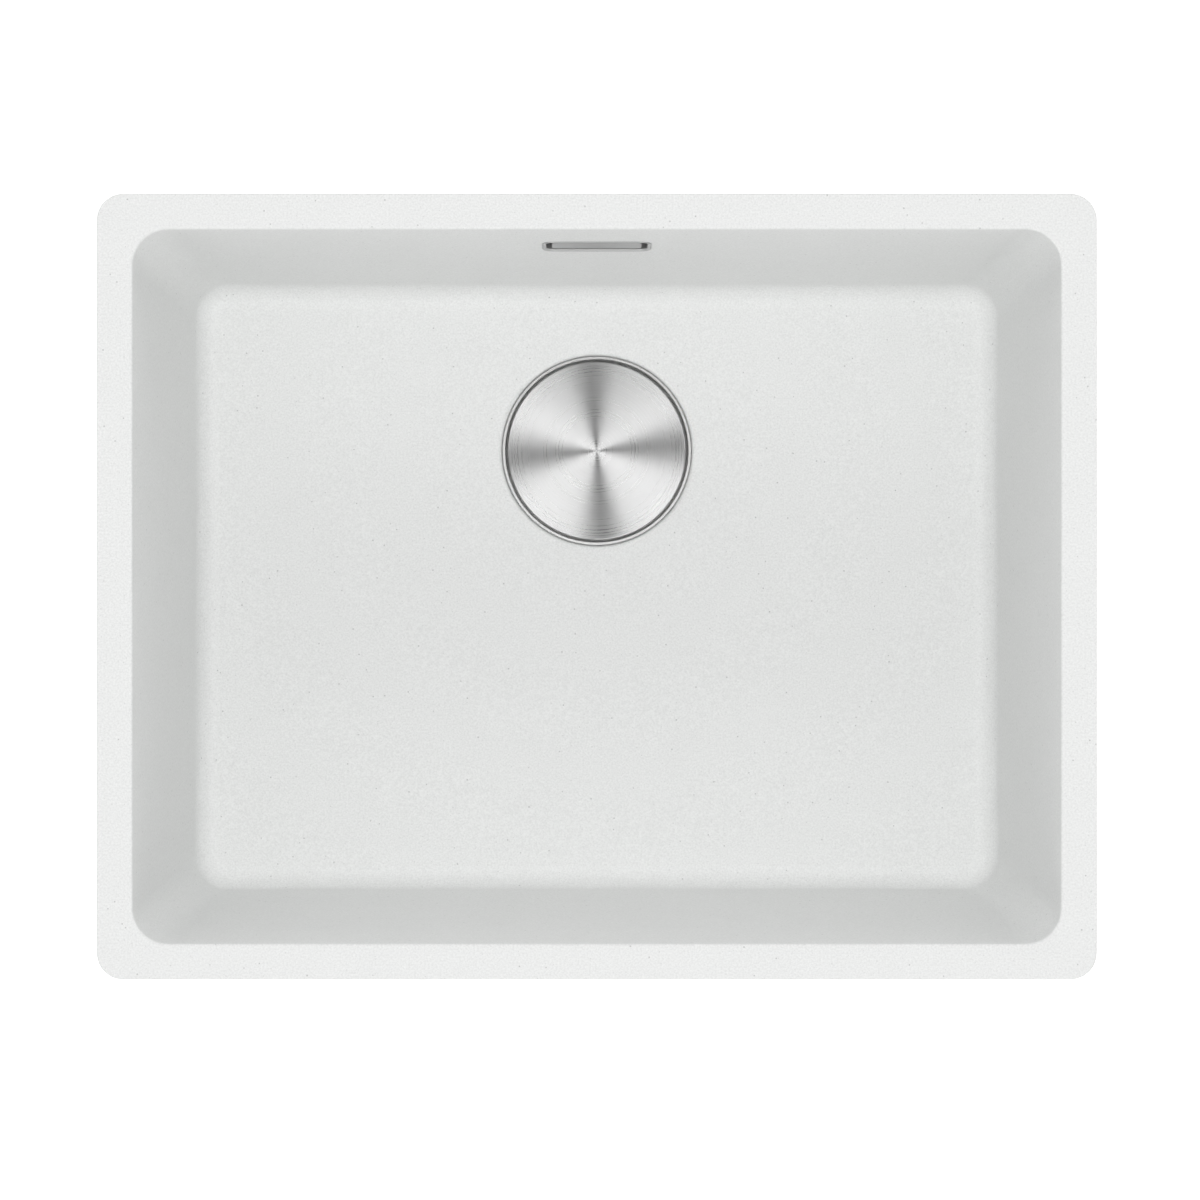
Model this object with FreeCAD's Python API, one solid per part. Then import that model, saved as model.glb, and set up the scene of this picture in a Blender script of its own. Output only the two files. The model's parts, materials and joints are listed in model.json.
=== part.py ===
import FreeCAD, Part
import math
import os

# An undermount kitchen sink moulded in granite composite, with its overflow and its strainer waste.
# Millimetres. The origin is the centre of the bowl's mouth, on the plane of the rim's top face.
# +X runs along the long side, +Y towards the back wall with the overflow, +Z up.

V = FreeCAD.Vector
UP = V(0, 0, 1)
ACROSS = V(1, 0, 0)
BACK = V(0, 1, 0)
FULL_TURN = 360.0

# Bowl, sizes taken at the mouth and at the lowest point of the floor
bowl_length = 520.0
bowl_width = 400.0
bowl_depth = 200.0
bowl_corner = 20.0
bowl_draft_angle = 5.0
bowl_wall = 8.0
bowl_floor = 9.0
mouth_round = 1.5
floor_round = 14.0
floor_fall_share = 0.015

# Rim, a flat ledge all round the mouth
rim_ledge = 20.0
rim_thickness = 10.0
rim_corner = 15.0
rim_edge_round = 1.0
under_rim_round = 6.0

# Fixing bosses under the rim, with their brass inserts: how far in from the rim's edge and its corners
boss_radius = 6.5
boss_height = 12.0
boss_edge = 7.5
long_side_inset = 120.0
short_side_inset = 110.0
insert_radius = 3.5
insert_length = 10.0
insert_thread_radius = 2.1
insert_clearance = 0.05

# Waste hole and the pad that thickens the floor round it
waste_back = 117.0
waste_hole_clearance = 1.0
pad_margin = 14.15
pad_height = 9.0
pad_round = 3.0
recess_lip_round = 3.0
recess_clearance = 0.25

# Pressed strainer housing that sits in the recess: a cup, a well round its mouth and a lip
sheet = 1.0
cup_radius = 43.0
cup_depth = 44.0
well_width = 13.0
well_depth = 5.0
lip_width = 1.6
lip_round = 0.4
well_round = 1.5
mouth_roll = 2.0
cup_round = 6.0
drain_inner_radius = 11.0
drain_outer_radius = 26.0
drain_spoke_width = 7.0
drain_spoke_count = 4
drain_corner = 1.5

# Seals of the waste
flange_seal_thickness = 1.5
seal_margin = 1.0
body_seal_thickness = 3.0

# Waste body under the bowl
body_wall = 2.5
body_flange_width = 10.5
body_flange_thickness = 4.5
chamber_clearance = 3.0
chamber_depth = 35.0
funnel_depth = 20.0
outlet_bore_radius = 19.5
outlet_thread_radius = 23.9
outlet_length = 28.0
body_round = 3.0
gusset_count = 8
gusset_thickness = 2.5
gusset_height = 15.0
spider_count = 3
spider_thickness = 3.0
hub_radius = 7.5
hub_length = 12.0
hub_drop = 31.0
port_drop = 45.0
port_length = 27.5

# Centre screw and its brass nut
screw_radius = 3.0
screw_head_radius = 6.0
screw_head_height = 3.0
screw_slot_width = 1.6
screw_slot_depth = 1.4
screw_hole_clearance = 0.3
screw_end_gap = 1.5
nut_wall = 1.2
nut_length = 10.0
thread_clearance = 0.05

# Strainer basket
basket_sheet = 0.8
basket_rim_gap = 8.0
basket_cup_gap = 1.5
basket_taper = 4.5
basket_height = 31.0
basket_round = 5.0
basket_roll = 1.2
seat_gap = 0.2
hole_radius = 1.8
bottom_ring_radii = (13.0, 19.5, 26.0)
bottom_ring_counts = (8, 14, 20)
wall_row_heights = (10.0, 17.0)
wall_row_count = 22

# Stopper, stem and knob of the basket
stopper_margin = 12.0
stopper_lip = 2.0
stopper_hub_radius = 12.0
stopper_pocket_gap = 2.0
stopper_pocket_rise = 1.2
stem_radius = 4.0
stem_tail_radius = 3.0
stem_tail_length = 2.6
washer_band = 5.0
washer_thickness = 0.8
knob_radius = 9.0
knob_height = 9.0
knob_waist_radius = 6.0
knob_round = 1.2

# Cover over the waste
cover_gap = 1.7
cover_sheet = 1.0
cover_skirt = 3.2
cover_edge_round = 0.5
carrier_plate_radius = 14.0
carrier_plate_thickness = 1.5
carrier_socket_wall = 2.0
carrier_socket_length = 8.0
carrier_clearance = 0.4
carrier_arm_count = 4
carrier_arm_width = 4.0
carrier_arm_height = 2.5
carrier_arm_gap = 4.3

# Overflow, measured in the plane of the back wall
overflow_drop = 54.5
frame_length = 62.2
frame_height = 30.0
frame_corner = 7.0
frame_band = 2.0
frame_bevel = 1.2
frame_proud = 0.5
frame_recess = 1.0
frame_skirt = 0.8
frame_skirt_depth = 7.0
frame_edge_round = 0.4
bridge_width = 14.0
bridge_thickness = 1.2
wall_hole_clearance = 0.3
plate_side_gap = 3.6
plate_slot = 9.4
plate_sheet = 1.0
plate_top_gap = 0.3
plate_flange = 3.0
plate_corner = 2.0
plate_tab_width = 8.0
plate_tab_gap = 0.2

# Overflow housing behind the wall
overflow_pad_height = 2.0
overflow_pad_margin = 7.0
overflow_seal_thickness = 2.0
overflow_seal_band = 6.0
housing_wall = 2.0
housing_flange_thickness = 2.5
housing_top_depth = 12.0
housing_bottom_depth = 19.5
housing_edge_round = 2.5
housing_end_round = 4.0
housing_rib_count = 3
housing_rib_thickness = 1.6
housing_rib_height = 1.5
housing_rib_pitch = 13.0
post_radius = 4.5
post_tip_gap = 5.0
overflow_screw_radius = 2.5
overflow_head_radius = 5.0
overflow_head_height = 2.4
overflow_insert_wall = 0.8
overflow_insert_length = 6.0

# Overflow pipe with its two union nuts
pipe_radius = 7.5
pipe_wall = 1.5
pipe_bend = 26.0
pipe_offset = 22.0
socket_clearance = 0.3
socket_wall = 1.8
socket_length = 16.0
socket_depth = 11.0
union_wall = 1.9
union_length = 14.0
union_lip = 2.0
union_thread_gap = 0.3
union_rib_count = 12
union_rib_radius = 1.2
union_seal_height = 3.0

# How far a cutting shape runs past what it cuts, and how close two points count as one
overrun = 5.0
same_place = 0.0001


def export(shape, node):
    """Writes one node's solids to its own file."""
    shape.exportStep(os.path.join("parts", node + ".step"))


def rounded_wire(corners, place):
    """A closed outline through (a, b, round) corners, each corner a tangent arc of its own radius."""
    points = [V(a, b, 0) for a, b, _ in corners]
    rounds = [r for _, _, r in corners]
    starts = []
    mids = []
    ends = []
    for i, corner in enumerate(points):
        before = (points[i - 1] - corner).normalize()
        after = (points[(i + 1) % len(points)] - corner).normalize()
        half = before.getAngle(after) / 2
        run = rounds[i] / math.tan(half)
        inward = (before + after) * (1 / (2 * math.cos(half)))
        starts.append(corner + before * run)
        mids.append(corner + inward * (rounds[i] / math.sin(half) - rounds[i]))
        ends.append(corner + after * run)
    edges = []
    for i in range(len(points)):
        if rounds[i] > 0:
            edges.append(Part.Arc(place(starts[i]), place(mids[i]), place(ends[i])).toShape())
        following = starts[(i + 1) % len(points)]
        if (following - ends[i]).Length > same_place:
            edges.append(Part.LineSegment(place(ends[i]), place(following)).toShape())
    return Part.Wire(edges)


def turned(corners):
    """A solid of revolution about Z from a closed outline of (radius, height, round) corners."""
    wire = rounded_wire(corners, lambda p: V(p.x, 0, p.y))
    return Part.Face(wire).revolve(V(0, 0, 0), UP, FULL_TURN)


def rectangle(half_length, half_width, corner, z):
    """A rounded rectangle about the Z axis, as a wire at height z."""
    corners = [
        (-half_length, -half_width, corner),
        (half_length, -half_width, corner),
        (half_length, half_width, corner),
        (-half_length, half_width, corner),
    ]
    return rounded_wire(corners, lambda p: V(p.x, p.y, z))


def block(length, width, corner, low, high):
    """A rounded rectangular block about the Z axis between two heights."""
    face = Part.Face(rectangle(length / 2, width / 2, corner, low))
    return face.extrude(UP * (high - low))


def drafted(length, width, corner, low, high):
    """A rounded rectangular block whose sides follow the bowl's draft, of the given size at height 0."""
    wires = [rectangle(length / 2 + z * lean, width / 2 + z * lean, corner, z) for z in (high, low)]
    return Part.makeLoft(wires, True, True)


def cylinder(radius, low, high):
    """A cylinder on the Z axis between two heights."""
    return Part.makeCylinder(radius, high - low, V(0, 0, low), UP)


def ring(inner, outer, low, high):
    """A flat ring on the Z axis between two heights."""
    return cylinder(outer, low, high).cut(cylinder(inner, low - overrun, high + overrun))


def around(shape, count, first_angle=0.0):
    """Copies of a shape, evenly spaced about the Z axis."""
    copies = []
    for i in range(count):
        copy = shape.copy()
        copy.rotate(V(0, 0, 0), UP, first_angle + i * FULL_TURN / count)
        copies.append(copy)
    return copies


def edges_at(shape, z, reach_x, reach_y):
    """The edges that lie flat at height z and inside a rectangle about the Z axis."""
    found = []
    for edge in shape.Edges:
        box = edge.BoundBox
        flat = abs(box.ZMin - z) < same_place and abs(box.ZMax - z) < same_place
        inside_x = max(abs(box.XMin), abs(box.XMax)) <= reach_x
        inside_y = max(abs(box.YMin), abs(box.YMax)) <= reach_y
        if flat and inside_x and inside_y:
            found.append(edge)
    return found


# Sizes and places that several pieces share

rim_length = bowl_length + 2 * rim_ledge
rim_width = bowl_width + 2 * rim_ledge
waste_place = V(0, bowl_width / 2 - waste_back, -bowl_depth)
lean = math.tan(math.radians(bowl_draft_angle))
overflow_place = V(0, bowl_width / 2 - overflow_drop * lean, -overflow_drop)
overflow_turn = FreeCAD.Rotation(ACROSS, 90 - bowl_draft_angle)
overflow_placement = FreeCAD.Placement(overflow_place, overflow_turn)

well_radius = cup_radius + well_width
flange_radius = well_radius + lip_width
waste_hole_radius = cup_radius + sheet + waste_hole_clearance
recess_radius = flange_radius + recess_clearance
recess_depth = well_depth + sheet + flange_seal_thickness
pad_radius = recess_radius + pad_margin
chamber_radius = waste_hole_radius + chamber_clearance
body_flange_radius = chamber_radius + body_wall + body_flange_width
port_reach = chamber_radius + body_wall + port_length
nut_radius = screw_radius + nut_wall
pad_bottom = -(bowl_floor + pad_height)
body_top = pad_bottom - body_seal_thickness
chamber_bottom = body_top - chamber_depth
funnel_bottom = chamber_bottom - funnel_depth
outlet_bottom = funnel_bottom - outlet_length
hub_top = body_top - hub_drop
basket_rim_radius = well_radius - basket_rim_gap
basket_top_radius = cup_radius - basket_cup_gap
basket_bottom_radius = basket_top_radius - basket_taper
basket_low = -well_depth + seat_gap - basket_height
stopper_radius = cup_radius - stopper_margin
cover_radius = well_radius - cover_gap
cover_under = -cover_sheet
knob_top = cover_under - carrier_plate_thickness - seat_gap

opening_length = frame_length - 2 * frame_band
opening_height = frame_height - 2 * frame_band
skirt_length = opening_length + 2 * frame_skirt
skirt_height = opening_height + 2 * frame_skirt
hole_length = skirt_length + 2 * wall_hole_clearance
hole_height = skirt_height + 2 * wall_hole_clearance
hole_corner = frame_corner - frame_band + frame_skirt + wall_hole_clearance
plate_length = opening_length - 2 * plate_side_gap
plate_height = opening_height - plate_top_gap - plate_slot
overflow_pad_face = -(bowl_wall + overflow_pad_height)
housing_face = overflow_pad_face - overflow_seal_thickness
socket_bore = pipe_radius + socket_clearance
socket_radius = socket_bore + socket_wall
union_bore = socket_radius + union_thread_gap
union_radius = union_bore + union_wall
housing_bottom = -(hole_height / 2 + housing_wall)
overflow_insert_radius = overflow_screw_radius + overflow_insert_wall


def on_waste(shape):
    """Moves a piece modelled on the Z axis to the waste, where height 0 is the floor's lowest level."""
    shape.translate(waste_place)
    return shape


def on_wall(shape):
    """Moves a piece modelled flat to the back wall: its Y runs up the wall and its Z into the bowl."""
    shape.Placement = overflow_placement.multiply(shape.Placement)
    return shape


# The moulded bowl

def bowl_cavity():
    """The space inside the bowl: drafted walls, a floor that falls to the waste, and a rounded foot."""
    cavity = drafted(bowl_length, bowl_width, bowl_corner, -bowl_depth - overrun, overrun)
    flat = recess_radius + recess_lip_round
    reach = bowl_length
    rise = (reach - flat) * floor_fall_share
    centre = V(waste_place.x, waste_place.y, -bowl_depth)
    fall = Part.makeCone(flat, reach, rise, centre, UP)
    above = Part.makeCylinder(reach, bowl_depth + overrun, centre + UP * rise, UP)
    cavity = cavity.common(fall.fuse(above))
    foot = []
    for edge in cavity.Edges:
        box = edge.BoundBox
        low = box.ZMax < -bowl_depth / 2
        round_the_waste = box.ZMax - box.ZMin < same_place
        seam = box.YMax - box.YMin < same_place and box.XMax < bowl_length / 2 - floor_round
        if low and not round_the_waste and not seam:
            foot.append(edge)
    return cavity.makeFillet(floor_round, foot)


def boss_places():
    """The centres of the fixing bosses: two on each side of the rim."""
    half_length = rim_length / 2
    half_width = rim_width / 2
    long_side = V(half_length - long_side_inset, half_width - boss_edge, 0)
    short_side = V(half_length - boss_edge, half_width - short_side_inset, 0)
    return [V(sx * p.x, sy * p.y, 0) for p in (long_side, short_side) for sx in (-1, 1) for sy in (-1, 1)]


def boss(place):
    """One fixing boss, with a web that ties it to the bowl's wall."""
    low = -rim_thickness - boss_height
    post = cylinder(boss_radius, low, -rim_thickness / 2)
    web = Part.makeBox(boss_radius * 2, boss_radius * 2, boss_height + rim_thickness / 2)
    web.translate(V(-boss_radius, -boss_radius, low))
    on_long_side = abs(place.y) > abs(place.x) * rim_width / rim_length
    inward = V(0, -place.y, 0) if on_long_side else V(-place.x, 0, 0)
    web.translate(inward.normalize() * boss_radius)
    shape = post.fuse(web)
    shape.translate(place)
    return shape


def bowl():
    """The one-piece moulding: rim, shell, waste pad, overflow pad and fixing bosses."""
    shell_bottom = -bowl_depth - bowl_floor
    shell_length = bowl_length + 2 * bowl_wall
    shell_width = bowl_width + 2 * bowl_wall
    shell_corner = bowl_corner + bowl_wall
    shell = drafted(shell_length, shell_width, shell_corner, shell_bottom, 0)
    shell = shell.makeFillet(floor_round + bowl_wall, edges_at(shell, shell_bottom, shell_length, shell_width))
    rim = block(rim_length, rim_width, rim_corner, -rim_thickness, 0)
    rim_edges = edges_at(rim, 0, rim_length, rim_width) + edges_at(rim, -rim_thickness, rim_length, rim_width)
    rim = rim.makeFillet(rim_edge_round, rim_edges)
    body = rim.fuse(shell)
    under = edges_at(body, -rim_thickness, shell_length / 2, shell_width / 2)
    body = body.makeFillet(under_rim_round, under)

    pad = cylinder(pad_radius, pad_bottom, -bowl_floor / 2)
    pad = on_waste(pad.makeFillet(pad_round, edges_at(pad, pad_bottom, pad_radius, pad_radius)))
    overflow_pad = block(
        hole_length + 2 * overflow_pad_margin,
        hole_height + 2 * overflow_pad_margin,
        hole_corner + overflow_pad_margin,
        overflow_pad_face,
        -bowl_wall / 2,
    )
    body = body.fuse([pad, on_wall(overflow_pad)] + [boss(place) for place in boss_places()])

    body = body.cut(bowl_cavity())
    mouth = edges_at(body, 0, bowl_length / 2 + mouth_round, bowl_width / 2 + mouth_round)
    body = body.makeFillet(mouth_round, mouth)

    recess = cylinder(recess_radius, -recess_depth, overrun)
    hole = cylinder(waste_hole_radius, pad_bottom - overrun, overrun)
    bead = Part.makeTorus(recess_radius + recess_lip_round, recess_lip_round, V(0, 0, -recess_lip_round), UP)
    corner = ring(recess_radius - overrun, recess_radius + recess_lip_round, -recess_lip_round, overrun)
    lip = corner.cut(bead)
    body = body.cut(on_waste(recess.fuse([hole, lip])))

    slot = block(hole_length, hole_height, hole_corner, overflow_pad_face - overrun, overrun)
    seat = block(
        frame_length + 2 * wall_hole_clearance,
        frame_height + 2 * wall_hole_clearance,
        frame_corner + wall_hole_clearance,
        -frame_recess,
        overrun,
    )
    body = body.cut(on_wall(slot.fuse(seat)))

    low = -rim_thickness - boss_height
    sockets = []
    for place in boss_places():
        socket = cylinder(insert_radius, low - overrun, low + insert_length)
        socket.translate(place)
        sockets.append(socket)
    return body.cut(sockets).removeSplitter()


def threaded_inserts():
    """Brass inserts moulded into the bosses, bored to the thread's core."""
    low = -rim_thickness - boss_height
    inserts = []
    for place in boss_places():
        insert = ring(insert_thread_radius, insert_radius - insert_clearance, low, low + insert_length)
        insert.translate(place)
        inserts.append(insert)
    return Part.makeCompound(inserts)


# The waste

def strainer_housing():
    """The pressed steel housing: lip, well, cup and a bottom pierced round the centre screw."""
    centre_hole = screw_radius + screw_hole_clearance
    cup = turned([
        (centre_hole, -cup_depth, 0),
        (cup_radius, -cup_depth, cup_round),
        (cup_radius, -well_depth, mouth_roll),
        (well_radius, -well_depth, well_round),
        (well_radius, 0, lip_round),
        (flange_radius, 0, lip_round / 2),
        (flange_radius, -sheet, 0),
        (well_radius + sheet, -sheet, 0),
        (well_radius + sheet, -well_depth - sheet, well_round + sheet),
        (cup_radius + sheet, -well_depth - sheet, mouth_roll - sheet),
        (cup_radius + sheet, -cup_depth - sheet, cup_round + sheet),
        (centre_hole, -cup_depth - sheet, 0),
    ])
    low = -cup_depth - sheet - overrun
    openings = ring(drain_inner_radius, drain_outer_radius, low, -cup_depth + overrun)
    spoke = Part.makeBox(drain_outer_radius + overrun, drain_spoke_width, sheet + 2 * overrun)
    spoke.translate(V(0, -drain_spoke_width / 2, low))
    openings = openings.cut(around(spoke, drain_spoke_count))
    upright = [e for e in openings.Edges if e.BoundBox.ZMax - e.BoundBox.ZMin > sheet]
    openings = openings.makeFillet(drain_corner, upright)
    return on_waste(cup.cut(openings))


def waste_flange_seal():
    """The flat seal between the housing's well and the recess in the floor."""
    low = -well_depth - sheet - flange_seal_thickness
    return on_waste(ring(waste_hole_radius + seal_margin, well_radius, low, -well_depth - sheet))


def waste_body_seal():
    """The thick seal between the pad under the bowl and the waste body's flange."""
    return on_waste(ring(chamber_radius - seal_margin, body_flange_radius - seal_margin, body_top, pad_bottom))


def body_outline(inner):
    """Outer corners of the waste body from its outlet up, closed along the given inner corners."""
    outer_chamber = chamber_radius + body_wall
    outer = [
        (outlet_thread_radius, outlet_bottom, 0),
        (outlet_thread_radius, funnel_bottom - body_wall, 0),
        (outer_chamber, chamber_bottom - body_wall, body_round),
        (outer_chamber, body_top - body_flange_thickness, body_round),
        (body_flange_radius, body_top - body_flange_thickness, 0),
        (body_flange_radius, body_top, 0),
    ]
    return turned(outer + inner)


def port_tube(radius, start, stop):
    """A cylinder along the overflow port's axis, between two distances from the waste's centre."""
    return Part.makeCylinder(radius, stop - start, V(0, start, -port_drop), BACK)


def waste_body():
    """The moulded body under the bowl: flange, chamber, funnel, threaded outlet and overflow port."""
    hollow = turned([
        (0, body_top + overrun, 0),
        (0, outlet_bottom - overrun, 0),
        (outlet_bore_radius, outlet_bottom - overrun, 0),
        (outlet_bore_radius, funnel_bottom, 0),
        (chamber_radius, chamber_bottom, body_round),
        (chamber_radius, body_top + overrun, 0),
    ])
    filled = body_outline([(0, body_top, 0), (0, outlet_bottom, 0)])
    body = filled.cut(hollow)

    gusset = Part.Face(Part.makePolygon([
        V(chamber_radius + body_wall / 2, -gusset_thickness / 2, body_top - body_flange_thickness / 2),
        V(body_flange_radius - seal_margin, -gusset_thickness / 2, body_top - body_flange_thickness / 2),
        V(body_flange_radius - seal_margin, -gusset_thickness / 2, body_top - body_flange_thickness),
        V(chamber_radius + body_wall, -gusset_thickness / 2, body_top - body_flange_thickness - gusset_height),
        V(chamber_radius + body_wall / 2, -gusset_thickness / 2, body_top - body_flange_thickness - gusset_height),
        V(chamber_radius + body_wall / 2, -gusset_thickness / 2, body_top - body_flange_thickness / 2),
    ])).extrude(BACK * gusset_thickness)
    gussets = around(gusset, gusset_count, FULL_TURN / gusset_count / 2)

    hub_bottom = hub_top - hub_length
    arm = Part.makeBox(chamber_radius + body_wall / 2, spider_thickness, hub_length)
    arm.translate(V(0, -spider_thickness / 2, hub_bottom))
    arms = [a.common(filled) for a in around(arm, spider_count, FULL_TURN / spider_count / 4)]
    hub = cylinder(hub_radius, hub_bottom, hub_top)

    port = port_tube(socket_radius, chamber_radius + body_wall / 2, port_reach)
    body = body.fuse(gussets + arms + [hub, port])
    body = body.cut([
        cylinder(nut_radius, hub_top - nut_length, hub_top + overrun),
        port_tube(pipe_radius - pipe_wall, chamber_radius - overrun, port_reach),
        port_tube(socket_bore, port_reach - socket_depth, port_reach + overrun),
    ])
    return on_waste(body)


def centre_nut():
    """The brass nut moulded into the waste body's hub."""
    inner = screw_radius + thread_clearance
    return on_waste(ring(inner, nut_radius - insert_clearance, hub_top - nut_length, hub_top))


def centre_screw():
    """The slotted screw that pulls the housing and the waste body together through the floor."""
    head = turned([
        (0, -cup_depth, 0),
        (screw_head_radius, -cup_depth, 0),
        (screw_head_radius, -cup_depth + screw_head_height, screw_head_height / 3),
        (0, -cup_depth + screw_head_height, 0),
    ])
    slot = Part.makeBox(2 * screw_head_radius, screw_slot_width, screw_slot_depth + overrun)
    slot.translate(V(-screw_head_radius, -screw_slot_width / 2, -cup_depth + screw_head_height - screw_slot_depth))
    shank = cylinder(screw_radius, hub_top - nut_length + screw_end_gap, -cup_depth)
    return on_waste(head.cut(slot).fuse(shank))


# The strainer basket

def strainer_basket():
    """The perforated steel basket, its rim on the housing's well and its wall tapering down."""
    rim_low = basket_low + basket_height
    shell = turned([
        (stem_tail_radius, basket_low, 0),
        (basket_bottom_radius, basket_low, basket_round),
        (basket_top_radius, rim_low, basket_roll),
        (basket_rim_radius, rim_low, 0),
        (basket_rim_radius, rim_low + basket_sheet, basket_sheet / 4),
        (basket_top_radius - basket_sheet, rim_low + basket_sheet, basket_roll + basket_sheet),
        (basket_bottom_radius - basket_sheet, basket_low + basket_sheet, basket_round - basket_sheet),
        (stem_tail_radius, basket_low + basket_sheet, 0),
    ])
    holes = []
    for ring_radius, count in zip(bottom_ring_radii, bottom_ring_counts):
        hole = cylinder(hole_radius, basket_low - overrun, basket_low + overrun)
        hole.translate(V(ring_radius, 0, 0))
        holes += around(hole, count)
    for row, height in enumerate(wall_row_heights):
        start = V(basket_bottom_radius - overrun, 0, basket_low + height)
        hole = Part.makeCylinder(hole_radius, basket_top_radius - start.x + overrun, start, ACROSS)
        holes += around(hole, wall_row_count, row * FULL_TURN / wall_row_count / 2)
    return on_waste(shell.cut(holes))


def basket_stopper():
    """The rubber stopper under the basket, hollow where it drops over the centre screw."""
    seat = -cup_depth + seat_gap
    pocket_radius = screw_head_radius + stopper_pocket_gap
    pocket_top = seat + screw_head_height + stopper_pocket_rise
    return on_waste(turned([
        (0, basket_low, 0),
        (0, pocket_top, 0),
        (pocket_radius, pocket_top, 0),
        (pocket_radius, seat, 0),
        (stopper_radius, seat, 0),
        (stopper_radius, seat + stopper_lip, stopper_lip / 2),
        (stopper_hub_radius, seat + 2 * stopper_lip, stopper_lip),
        (stopper_hub_radius, basket_low, 0),
    ]).cut(cylinder(stem_tail_radius, basket_low - stem_tail_length, basket_low + overrun)))


def basket_washer():
    """The steel washer that spreads the stem's pull on the basket's floor."""
    low = basket_low + basket_sheet
    outer = stem_tail_radius + washer_band
    return on_waste(ring(stem_tail_radius + thread_clearance, outer, low, low + washer_thickness))


def basket_stem():
    """The steel stem that joins knob, basket and stopper."""
    shoulder = basket_low + basket_sheet + washer_thickness
    tail = cylinder(stem_tail_radius - thread_clearance, basket_low - stem_tail_length, shoulder)
    return on_waste(tail.fuse(cylinder(stem_radius, shoulder, knob_top - knob_height)))


def basket_knob():
    """The pull knob, waisted for two fingers and flat on top, where the cover rests."""
    low = knob_top - knob_height
    return on_waste(turned([
        (0, low, 0),
        (knob_waist_radius, low, 0),
        (knob_waist_radius, low + knob_height / 2, knob_round),
        (knob_radius, low + knob_height / 2, knob_round),
        (knob_radius, knob_top, knob_round),
        (0, knob_top, 0),
    ]))


# The cover

def cover_disc():
    """The brushed steel disc with its turned-down edge."""
    return on_waste(turned([
        (0, 0, 0),
        (0, -cover_sheet, 0),
        (cover_radius - cover_sheet, -cover_sheet, 0),
        (cover_radius - cover_sheet, -cover_skirt, 0),
        (cover_radius, -cover_skirt, 0),
        (cover_radius, 0, cover_edge_round),
    ]))


def cover_carrier():
    """The moulded carrier under the disc: a socket that drops over the knob, and its arms."""
    inner = knob_radius + carrier_clearance
    plate_low = cover_under - carrier_plate_thickness
    plate = cylinder(carrier_plate_radius, plate_low, cover_under)
    socket = ring(inner, inner + carrier_socket_wall, plate_low - carrier_socket_length, plate_low)
    start = inner + carrier_socket_wall / 2
    reach = cover_radius - cover_sheet - carrier_arm_gap
    arm = Part.makeBox(reach - start, carrier_arm_width, carrier_arm_height)
    arm.translate(V(start, -carrier_arm_width / 2, cover_under - carrier_arm_height))
    return on_waste(plate.fuse([socket] + around(arm, carrier_arm_count, FULL_TURN / carrier_arm_count / 2)))


# The overflow

def overflow_frame():
    """The steel frame let into the back wall, with a skirt through it and a bridge for the screw."""
    corner = frame_corner - frame_band
    band = block(frame_length, frame_height, frame_corner, -frame_recess, frame_proud)
    band = band.makeFillet(frame_edge_round, edges_at(band, frame_proud, frame_length, frame_height))
    band = band.cut(block(opening_length, opening_height, corner, -frame_recess - overrun, frame_proud + overrun))
    reach_x = opening_length / 2 + frame_edge_round
    reach_y = opening_height / 2 + frame_edge_round
    band = band.makeChamfer(frame_bevel, edges_at(band, frame_proud, reach_x, reach_y))
    skirt = block(skirt_length, skirt_height, corner + frame_skirt, -frame_skirt_depth, -frame_recess)
    skirt = skirt.cut(block(opening_length, opening_height, corner, -frame_skirt_depth - overrun, frame_proud))
    bridge = Part.makeBox(bridge_width, opening_height + frame_skirt, bridge_thickness)
    bridge.translate(V(-bridge_width / 2, -(opening_height + frame_skirt) / 2, -frame_skirt_depth))
    hole = cylinder(overflow_screw_radius + thread_clearance, -frame_skirt_depth - overrun, 0)
    return on_wall(band.fuse([skirt, bridge]).cut(hole).removeSplitter())


def overflow_plate():
    """The steel plate that hides the screw: a flat face, folded back above and below, with two tabs."""
    top = opening_height / 2 - plate_top_gap
    middle = top - plate_height / 2
    back = frame_proud - plate_sheet
    face = block(plate_length, plate_height, plate_corner, back, frame_proud)
    folds = block(plate_length - 2 * plate_corner, plate_height, 0, frame_proud - plate_flange, back)
    inside = block(plate_length, plate_height - 2 * plate_sheet, 0, -plate_flange - overrun, back)
    plate = face.fuse(folds.cut(inside))
    plate.translate(V(0, middle, 0))
    tabs = []
    for side in (-1, 1):
        tab = Part.makeBox(plate_sheet, plate_tab_width, frame_skirt_depth)
        inner = bridge_width / 2 + plate_tab_gap
        left = inner if side > 0 else -inner - plate_sheet
        tab.translate(V(left, middle - plate_tab_width / 2, back - frame_skirt_depth))
        tabs.append(tab)
    return on_wall(plate.fuse(tabs).removeSplitter())


def overflow_screw():
    """The screw through the bridge into the housing's post."""
    seat = -frame_skirt_depth + bridge_thickness
    tip = housing_face - post_tip_gap - overflow_insert_length
    head = turned([
        (0, seat, 0),
        (overflow_head_radius, seat, 0),
        (overflow_head_radius, seat + overflow_head_height, overflow_head_height / 2),
        (0, seat + overflow_head_height, 0),
    ])
    slot = Part.makeBox(2 * overflow_head_radius, screw_slot_width, screw_slot_depth + overrun)
    slot.translate(V(-overflow_head_radius, -screw_slot_width / 2, seat + overflow_head_height - screw_slot_depth))
    return on_wall(head.cut(slot).fuse(cylinder(overflow_screw_radius, tip, seat)))


def overflow_seal():
    """The rubber seal between the pad on the back of the wall and the housing."""
    length = hole_length + 2 * overflow_seal_band
    height = hole_height + 2 * overflow_seal_band
    seal = block(length, height, hole_corner + overflow_seal_band, housing_face, overflow_pad_face)
    return on_wall(seal.cut(block(hole_length, hole_height, hole_corner, housing_face - overrun, 0)))


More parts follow.
